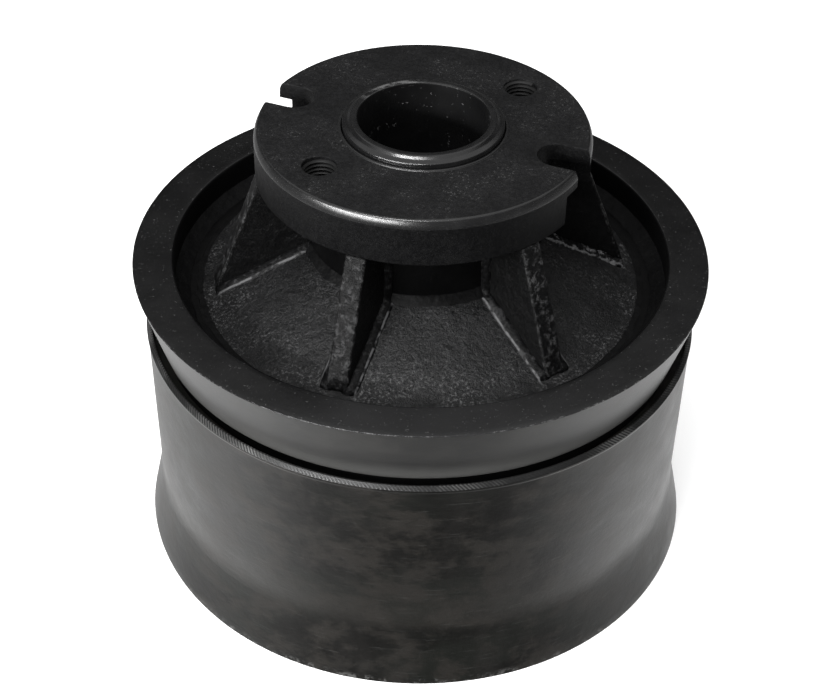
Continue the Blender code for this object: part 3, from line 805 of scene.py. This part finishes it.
def make_ring_welds(look):
    leg = WELD_LEG
    buried = 0.002
    tube = TUBE_R
    ring_weld("weld_tube_to_web", [
        (tube - buried, web_height(tube) - buried, 0),
        (tube + leg, web_height(tube + leg) - 0.0006, 0.0010),
        (tube + leg * 0.45, web_height(tube + leg * 0.45) + leg * 0.16, 0.0020),
        (tube - 0.0002, web_height(tube) + leg * 0.6, 0.0010),
    ], look)
    groove = WALL_R + SEAT - LEDGE_WIDTH
    ring_weld("weld_web_to_ledge", [
        (WEB_R - 0.001, LEDGE_TOP - 0.006, 0),
        (groove + 0.001, LEDGE_TOP - 0.006, 0),
        (groove + 0.004, LEDGE_TOP - 0.0004, 0.0020),
        (WEB_R - 0.004, WEB_EDGE + 0.0002, 0.0020),
    ], look)
    wall = WALL_R
    ring_weld("weld_ledge_to_rim", [
        (wall + 0.001, LEDGE_TOP - buried, 0),
        (wall + 0.001, LEDGE_TOP + 0.0065, 0.0010),
        (wall - 0.0040, LEDGE_TOP + 0.0035, 0.0030),
        (wall - 0.0115, LEDGE_TOP - 0.0006, 0.0020),
    ], look)
    for name, z, up in (
        ("weld_lower_web_to_tube", LOWER_WEB_LOW, -1),
        ("weld_lower_web_top", LOWER_WEB_TOP, 1),
    ):
        ring_weld(name, [
            (tube - buried, z - up * buried, 0),
            (tube + leg, z - up * 0.0004, 0.0010),
            (tube + leg * 0.4, z + up * leg * 0.4, 0.0020),
            (tube - 0.0002, z + up * leg, 0.0010),
        ], look)
    ring_weld("weld_lower_web_to_rim", [
        (wall + 0.001, LOWER_WEB_LOW + buried, 0),
        (wall + 0.001, LOWER_WEB_LOW - leg, 0.0010),
        (wall - leg * 0.4, LOWER_WEB_LOW - leg * 0.4, 0.0020),
        (wall - leg, LOWER_WEB_LOW + 0.0004, 0.0010),
    ], look)


def make_lower_web(look):
    inner = TUBE_R + SEAT
    corners = [
        (inner, LOWER_WEB_LOW, 0),
        (WALL_R, LOWER_WEB_LOW, 0),
        (WALL_R, LOWER_WEB_TOP, 0),
        (inner, LOWER_WEB_TOP, 0),
    ]
    web = turned("lower_web_flat", spaced(eased(corners), 0.004), TURNS)
    roughen(web, 0.03, 0.0007)
    fit(web, look["paint"], "wheel", "black_paint", "lower_web_plate")


def rib_outline():
    inner = TUBE_R + SEAT
    head = FLANGE_R - 0.0005
    corners = [
        (inner, web_height(inner) + SEAT, 0),
        (TOE_R, TOE_Z + SEAT, 0),
        (TOE_R, TOE_Z + RIB_TOE, 0.0015),
        (head, UNDER - SEAT, 0),
        (inner, UNDER - SEAT, 0),
    ]
    return eased(corners, 3)


def bead(start, end, radius):
    """One run of weld laid along a seam, with a heaped start and end."""
    let_go()
    along = end - start
    bpy.ops.mesh.primitive_cylinder_add(vertices=16, radius=radius, depth=along.length + radius)
    run = bpy.context.object
    lay = Matrix.Translation((start + end) / 2) @ along.to_track_quat("Z", "Y").to_matrix().to_4x4()
    run.data.transform(lay)
    bpy.ops.object.mode_set(mode="EDIT")
    bpy.ops.mesh.select_all(action="SELECT")
    bpy.ops.mesh.bevel(offset=radius * 0.6, segments=2, affect="EDGES")
    bpy.ops.object.mode_set(mode="OBJECT")
    return run


def rib_welds(number, look):
    """The fillets that hold one rib to the web, the tube and the hub flange."""
    side = RIB_THICK / 2
    sunk = Vector((0, 0, -WELD_LEG * 0.85))
    runs = []
    for way in (-1, 1):
        base_in = Vector((TUBE_R + 0.002, way * side, web_height(TUBE_R + 0.002)))
        base_out = Vector((TOE_R - WELD_STOP, way * side, web_height(TOE_R - WELD_STOP)))
        head = Vector((TUBE_R, way * side, UNDER))
        head_out = Vector((FLANGE_R - 0.010, way * side, UNDER))
        runs.append(bead(base_in + sunk, base_out + sunk, WELD_LEG * 1.22))
        runs.append(bead(base_in, head, WELD_LEG * 0.62))
        runs.append(bead(head, head_out, WELD_LEG * 0.70))
    welds = joined(f"rib_weld_{number + 1}", runs)
    finish_modifier(welds, "REMESH", mode="VOXEL", voxel_size=VOXEL, use_smooth_shade=True)
    turn_about_axis(welds, RIB_FIRST + number * 360 / RIB_COUNT)
    heap = RIB_WELD_HEAPS[number]
    roughen(welds, 0.010, 0.0012 * heap)
    roughen(welds, 0.0032, 0.0008 * heap)
    fit(welds, look["rough_weld" if heap > 1.5 else "weld"], "wheel", "black_paint")


def make_ribs(look):
    for number in range(RIB_COUNT):
        rib = plate(f"rib_plate_{number + 1}", rib_outline(), RIB_THICK)
        finish_modifier(rib, "REMESH", mode="VOXEL", voxel_size=VOXEL, use_smooth_shade=True)
        turn_about_axis(rib, RIB_FIRST + number * 360 / RIB_COUNT)
        roughen(rib, 0.014, 0.0010)
        roughen(rib, 0.004, 0.0007)
        fit(rib, look["cut"], "wheel", "black_paint", f"rib_{number + 1}")
        rib_welds(number, look)


# ---------------------------------------------------------------- hub

def make_hub_tube(look):
    bore = TUBE_R - TUBE_WALL
    high = UNDER - SEAT
    corners = [(bore, TUBE_LOW, 0), (TUBE_R, TUBE_LOW, 0.001), (TUBE_R, high, 0), (bore, high, 0)]
    tube = turned("hub_tube_turned", spaced(eased(corners), 0.006), TURNS)
    roughen(tube, 0.02, 0.0003)
    fit(tube, look["paint"], "wheel", "black_paint", "hub_tube")


def slot_cutter():
    """A U open to the flange's rim, drawn flat and then raised through the flange."""
    half = SLOT_WIDTH / 2
    middle = SLOT_END_R + half
    mouth = FLANGE_R + OVERRUN
    turns = [math.pi * step / 24 for step in range(25)]
    end = [(middle - half * math.sin(turn), half * math.cos(turn)) for turn in turns]
    return raised(end + [(mouth, -half), (mouth, half)], UNDER - OVERRUN, FACE + OVERRUN)


def pocket_cutter():
    half = POCKET_WIDTH / 2
    mouth = FLANGE_R + OVERRUN
    corners = [
        (POCKET_END_R, half, POCKET_CORNER),
        (POCKET_END_R, -half, POCKET_CORNER),
        (mouth, -half, 0),
        (mouth, half, 0),
    ]
    return raised(eased(corners, 8), UNDER - OVERRUN, POCKET_ROOF)


def raised(points, low, high):
    """A solid with a flat outline of (x, y) points between two heights."""
    solid = draw_outline("cutter", points)
    bpy.ops.mesh.edge_face_add()
    bpy.ops.mesh.extrude_region_move(TRANSFORM_OT_translate={"value": (0, high - low, 0)})
    face_outwards(solid)
    solid.data.transform(Matrix.Translation((0, 0, low)) @ Matrix.Rotation(math.pi / 2, 4, "X"))
    return solid


def make_hub_flange(look):
    counterbore = TUBE_R - TUBE_WALL
    corners = [
        (SLEEVE_R + 0.0004, FACE - WINDOW_CHAMFER, 0.0002),
        (SLEEVE_R + 0.0004, FACE - SEAL_LIP, 0),
        (counterbore, FACE - SEAL_LIP, 0),
        (counterbore, UNDER, 0),
        (FLANGE_R, UNDER, 0.0012),
        (FLANGE_R, FACE - BEVEL_DEPTH, 0.0022),
        (FLANGE_R - BEVEL_WIDTH, FACE, 0.0016),
        (WINDOW_R + 0.0012, FACE, 0.0003),
        (WINDOW_R + 0.0006, FACE + LIP_STANDS, 0.0005),
        (WINDOW_R - 0.0008, FACE + LIP_STANDS, 0.0003),
        (WINDOW_R - 0.0009, FACE - WINDOW_CHAMFER, 0.0002),
    ]
    flange = turned("hub_flange_machined", eased(corners), TURNS)
    for angle in TAP_ANGLES:
        depth = TAP_DEPTH + OVERRUN
        cut(flange, drill(THREAD_ROOT_R, depth, FACE - TAP_DEPTH + depth / 2, angle, TAP_PITCH_R, 48))
    for angle in SLOT_ANGLES:
        for cutter in (pocket_cutter(), slot_cutter()):
            turn_about_axis(cutter, angle)
            cut(flange, cutter)
    finish_modifier(
        flange, "BEVEL", width=0.0006, segments=3, limit_method="ANGLE",
        angle_limit=math.radians(50), miter_outer="MITER_ARC",
    )
    bpy.ops.object.shade_smooth_by_angle(angle=math.radians(40))
    fit(flange, look["flange"], "wheel", "cast_black", "hub_flange")
    extra_finish(flange, look["edge"], on_flange_edge)
    for number, angle in enumerate(TAP_ANGLES):
        make_thread(number, angle, look)


def on_flange_edge(spot):
    """The bevel round the flange's face, and the lip that stands round the sleeve."""
    radius = spot.xy.length
    outer = radius > FLANGE_R - BEVEL_WIDTH - 0.0010 and spot.z > FACE - BEVEL_DEPTH - 0.0010
    return spot.z > FACE + 0.00005 or (outer and spot.z < FACE - 0.00002)


def make_thread(number, angle, look):
    """A real helix standing in from the drilled wall."""
    half = THREAD_PITCH / 2
    crest = THREAD_PITCH / 16
    points = [
        (THREAD_ROOT_R + 0.0004, half * 0.94),
        (THREAD_ROOT_R, half * 0.88),
        (THREAD_CREST_R, crest),
        (THREAD_CREST_R, -crest),
        (THREAD_ROOT_R, -half * 0.88),
        (THREAD_ROOT_R + 0.0004, -half * 0.94),
    ]
    thread = draw_outline(f"thread_{number + 1}", points)
    rings = int((TAP_DEPTH - THREAD_PITCH) / THREAD_PITCH)
    finish_modifier(
        thread, "SCREW", steps=48, render_steps=48, iterations=rings, axis="Z",
        screw_offset=-THREAD_PITCH, use_merge_vertices=False, use_smooth_shade=True,
    )
    bpy.ops.object.mode_set(mode="EDIT")
    bpy.ops.mesh.select_all(action="DESELECT")
    bpy.ops.mesh.select_non_manifold(extend=False)
    bpy.ops.mesh.fill_holes(sides=0)
    face_outwards(thread, 30)
    thread.data.transform(Matrix.Translation((0, 0, FACE - half - 0.0006)))
    turn_about_axis(thread, angle, TAP_PITCH_R)
    fit(thread, look["thread"], "wheel", "cast_black")


def make_sleeve(look):
    bore = SLEEVE_R - SLEEVE_WALL
    corners = [
        (bore, SLEEVE_LOW, 0.0012),
        (SLEEVE_R, SLEEVE_LOW, SLEEVE_CHAMFER),
        (SLEEVE_R, SLEEVE_TOP - SLEEVE_CHAMFER, 0.0010),
        (SLEEVE_R - SLEEVE_SHELF, SLEEVE_TOP - SLEEVE_CHAMFER + 0.0008, 0.0008),
        (SLEEVE_R - SLEEVE_SHELF - 0.0022, SLEEVE_TOP, 0.0007),
        (bore, SLEEVE_TOP, 0.0012),
    ]
    sleeve = turned("sleeve_ground", spaced(eased(corners), 0.006), TURNS)
    fit(sleeve, look["sleeve"], "fixed_sleeve", "ground_steel", "inner_sleeve")
    extra_finish(sleeve, look["bore"], lambda spot: spot.xy.length < bore + 0.0004)


def make_lower_cap(look):
    corners = [
        (WINDOW_R, CAP_LOW, WINDOW_CHAMFER),
        (TUBE_R, CAP_LOW, 0.0016),
        (TUBE_R, CAP_TOP, 0.0004),
        (WINDOW_R, CAP_TOP, 0.0004),
    ]
    cap = turned("lower_cap_turned", spaced(eased(corners), 0.004), TURNS)
    pitch = TUBE_R - TUBE_WALL / 2
    for number in range(SCREW_COUNT):
        angle = SCREW_FIRST + number * 360 / SCREW_COUNT
        middle = CAP_LOW + SCREW_SUNK - SCREW_DRILL / 2
        cut(cap, drill(SCREW_R + SCREW_SIDE_GAP, SCREW_DRILL, middle, angle, pitch, 32))
    bpy.ops.object.shade_smooth_by_angle(angle=math.radians(40))
    fit(cap, look["flange"], "wheel", "cast_black", "lower_hub_cap")
    for number in range(SCREW_COUNT):
        make_cap_screw(number, pitch, look)


def make_cap_screw(number, pitch, look):
    """A sunk screw: a rounded head with a round socket, and a plain shank."""
    node = f"cap_screw_{number + 1}"
    head_low = foot(node)
    core = 0.0008
    corners = [
        (SCREW_SOCKET_R, head_low, 0.0003),
        (SCREW_R, head_low, 0.0011),
        (SCREW_R, head_low + SCREW_HEAD, 0.0003),
        (SCREW_SHANK_R, head_low + SCREW_HEAD, 0.0003),
        (SCREW_SHANK_R, top(node), 0.0006),
        (core, top(node), 0),
        (core, head_low + SCREW_SOCKET_DEPTH, 0),
        (SCREW_SOCKET_R, head_low + SCREW_SOCKET_DEPTH, 0),
    ]
    screw = turned(node + "_turned", eased(corners, 3), 36)
    turn_about_axis(screw, SCREW_FIRST + number * 360 / SCREW_COUNT, pitch)
    fit(screw, look["screw"], "wheel", "screw_steel", node)


# ---------------------------------------------------------------- carried-over nodes

def finish_hidden_nodes(look):
    """Bearing parts keep their CAD shapes and take machined finishes."""
    finishes = (
        ("bush", "bronze"), ("thrust_washer", "bronze"), ("thrust_collar", "ground"),
        ("seal_carrier", "ground"), ("seal_ring", "lapped"), ("toric", "rubber"),
    )
    for name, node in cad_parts.items():
        for word, finish in finishes:
            if word in name:
                node.data.materials.clear()
                node.data.materials.append(look[finish])


# ---------------------------------------------------------------- room

FLOOR_R = 12.0
FLOOR_BORDER = 8.0
FLOOR_GLOW = 0.2           # keeps the ground white beside the roller


def make_floor():
    """A white ground that mirrors don't see."""
    let_go()
    bpy.ops.mesh.primitive_circle_add(vertices=96, radius=FLOOR_R, fill_type="NGON")
    floor = bpy.context.object
    floor.name = "floor"
    bpy.ops.object.mode_set(mode="EDIT")
    bpy.ops.mesh.inset(thickness=FLOOR_BORDER)
    bpy.ops.object.mode_set(mode="OBJECT")
    finish = Finish("pale_floor", specular=0.0)
    tone = finish.mix(finish.noise(3, 3), (0.93, 0.93, 0.93), (0.95, 0.95, 0.95))
    finish.shader.inputs["Emission Strength"].default_value = FLOOR_GLOW
    floor.data.materials.append(finish.set(Base_Color=tone, Roughness=0.9, Emission_Color=tone))
    floor.visible_glossy = False


def make_room():
    """Even pale light for the floor and the background, and a studio that the gloss mirrors."""
    world = bpy.data.worlds.new("studio")
    bpy.context.scene.world = world
    world.use_nodes = True
    tree = world.node_tree
    tree.nodes.clear()
    new = tree.nodes.new
    link = tree.links.new
    output = new("ShaderNodeOutputWorld")
    toward = new("ShaderNodeTexCoord")
    split = new("ShaderNodeSeparateXYZ")
    link(toward.outputs["Generated"], split.inputs[0])

    def ramp_over(socket, low, high, stops):
        span = new("ShaderNodeMapRange")
        span.inputs[1].default_value = low
        span.inputs[2].default_value = high
        link(socket, span.inputs[0])
        ramp = new("ShaderNodeValToRGB")
        Finish.set_stops(ramp.color_ramp, [(place, (tone,) * 3) for place, tone in stops])
        link(span.outputs[0], ramp.inputs[0])
        return ramp.outputs[0]

    tones = ramp_over(split.outputs["Z"], -1, 1, ROOM_TONES)
    facing = new("ShaderNodeVectorMath")
    facing.operation = "DOT_PRODUCT"
    facing.inputs[1].default_value = Vector(SHADE_TOWARD).normalized()
    link(toward.outputs["Generated"], facing.inputs[0])
    shade = ramp_over(facing.outputs["Value"], 0, 1, SHADE_TONES)
    both = new("ShaderNodeMix")
    both.data_type = "RGBA"
    both.blend_type = "MULTIPLY"
    both.inputs[0].default_value = 1.0
    link(tones, both.inputs[6])
    link(shade, both.inputs[7])
    mirrored = new("ShaderNodeBackground")
    mirrored.inputs[1].default_value = MIRROR_STRENGTH
    link(both.outputs[2], mirrored.inputs[0])
    plain = new("ShaderNodeBackground")
    plain.inputs[0].default_value = (1.0, 1.0, 1.0, 1.0)
    plain.inputs[1].default_value = PLAIN_STRENGTH
    ray = new("ShaderNodeLightPath")
    choose = new("ShaderNodeMixShader")
    link(ray.outputs["Is Glossy Ray"], choose.inputs[0])
    link(plain.outputs[0], choose.inputs[1])
    link(mirrored.outputs[0], choose.inputs[2])
    link(choose.outputs[0], output.inputs[0])


# Tones over direction: 0 is straight down, 0.5 the horizon, 1 straight up
MIRROR_STRENGTH = 2.0
PLAIN_STRENGTH = 1.12
ROOM_TONES = (
    (0.0, 0.54), (0.04, 0.92), (0.09, 1.12), (0.18, 0.82), (0.26, 0.26), (0.35, 0.16), (0.46, 0.10),
    (0.56, 0.03), (0.775, 0.010), (0.81, 0.05), (0.84, 0.28), (0.88, 0.24), (0.94, 0.27), (1.0, 0.31),
)
SHADE_TOWARD = (0.10, -0.80, -0.58)        # a dark side to what the front of the tread mirrors
SHADE_TONES = ((0.0, 1.0), (0.45, 1.0), (0.68, 0.42), (0.89, 0.08), (1.0, 0.02))


def make_lamp(name, place, aim, width, height, watts):
    data = bpy.data.lights.new(name, "AREA")
    data.shape = "RECTANGLE"
    data.size = width
    data.size_y = height
    data.energy = watts
    lamp = bpy.data.objects.new(name, data)
    bpy.context.scene.collection.objects.link(lamp)
    toward = Vector(aim) - Vector(place)
    lamp.matrix_world = Matrix.Translation(place) @ toward.to_track_quat("-Z", "Y").to_matrix().to_4x4()


def make_lights():
    hub = (0, 0, 0.25)
    make_lamp("left_softbox", (-1.35, -1.45, 1.25), hub, 1.0, 1.3, 18)
    make_lamp("front_strip", (-1.25, -1.55, 0.92), hub, 1.9, 0.12, 44)
    make_lamp("crown_strip", (-0.45, -1.05, 2.05), hub, 1.1, 0.09, 20)


CAMERA_PLACE = (-0.0025, -0.9823, 0.9312)
CAMERA_TILT = 51.111       # degrees up from looking straight down
CAMERA_ROLL = 1.099
LENS = 72.77
SENSOR = 36.0


def make_camera():
    data = bpy.data.cameras.new("camera")
    data.lens = LENS
    data.sensor_width = SENSOR
    camera = bpy.data.objects.new("camera", data)
    bpy.context.scene.collection.objects.link(camera)
    tilt = Matrix.Rotation(math.radians(CAMERA_TILT), 4, "X")
    roll = Matrix.Rotation(math.radians(CAMERA_ROLL), 4, "Z")
    camera.matrix_world = Matrix.Translation(CAMERA_PLACE) @ tilt @ roll
    bpy.context.scene.camera = camera


def main():
    look = {
        "tread": tread_steel(),
        "lip": lip_steel(),
        "guide": guide_steel(),
        "paint": black_paint(
            "rolled_paint", (0.0007, 0.0007, 0.0008), (0.0020, 0.0020, 0.0021), 0.0003, 0.40,
        ),
        "web": web_paint(),
        "cut": cut_paint(),
        "weld": weld_metal("weld_metal", 0.14, 0.60),
        "rough_weld": weld_metal("rough_weld_metal", 0.70, 0.5),
        "ring_weld": black_paint(
            "weld_paint", (0.0012, 0.0012, 0.0013), (0.0042, 0.0042, 0.0044), 0.0010, 0.46,
        ),
        "rim_top": rim_top_paint(),
        "edge": rubbed_edge(),
        "flange": flange_paint(),
        "thread": machined("thread_steel", (0.003, 0.003, 0.003), (0.014, 0.014, 0.014), 0.3, 0.42),
        "sleeve": sleeve_steel(),
        "bore": bore_steel(),
        "screw": machined("screw_oxide", (0.018, 0.018, 0.02), (0.04, 0.04, 0.042), 0.5, 0.36),
        "bronze": machined("bearing_bronze", (0.36, 0.22, 0.09), (0.48, 0.31, 0.14), 1.0, 0.28),
        "ground": machined("ground_steel", (0.10, 0.10, 0.105), (0.20, 0.20, 0.205), 1.0, 0.28),
        "lapped": machined("lapped_steel", (0.28, 0.28, 0.29), (0.38, 0.38, 0.39), 1.0, 0.16),
        "rubber": moulded_rubber(),
    }
    make_tread(look)
    make_guide_flange(look)
    make_rim_core(look)
    make_web(look)
    make_ledge_ring(look)
    make_lower_web(look)
    make_ring_welds(look)
    make_ribs(look)
    make_hub_tube(look)
    make_hub_flange(look)
    make_sleeve(look)
    make_lower_cap(look)
    finish_hidden_nodes(look)
    make_floor()
    make_room()
    make_lights()
    make_camera()
    bpy.context.scene.view_settings.view_transform = "Standard"


main()
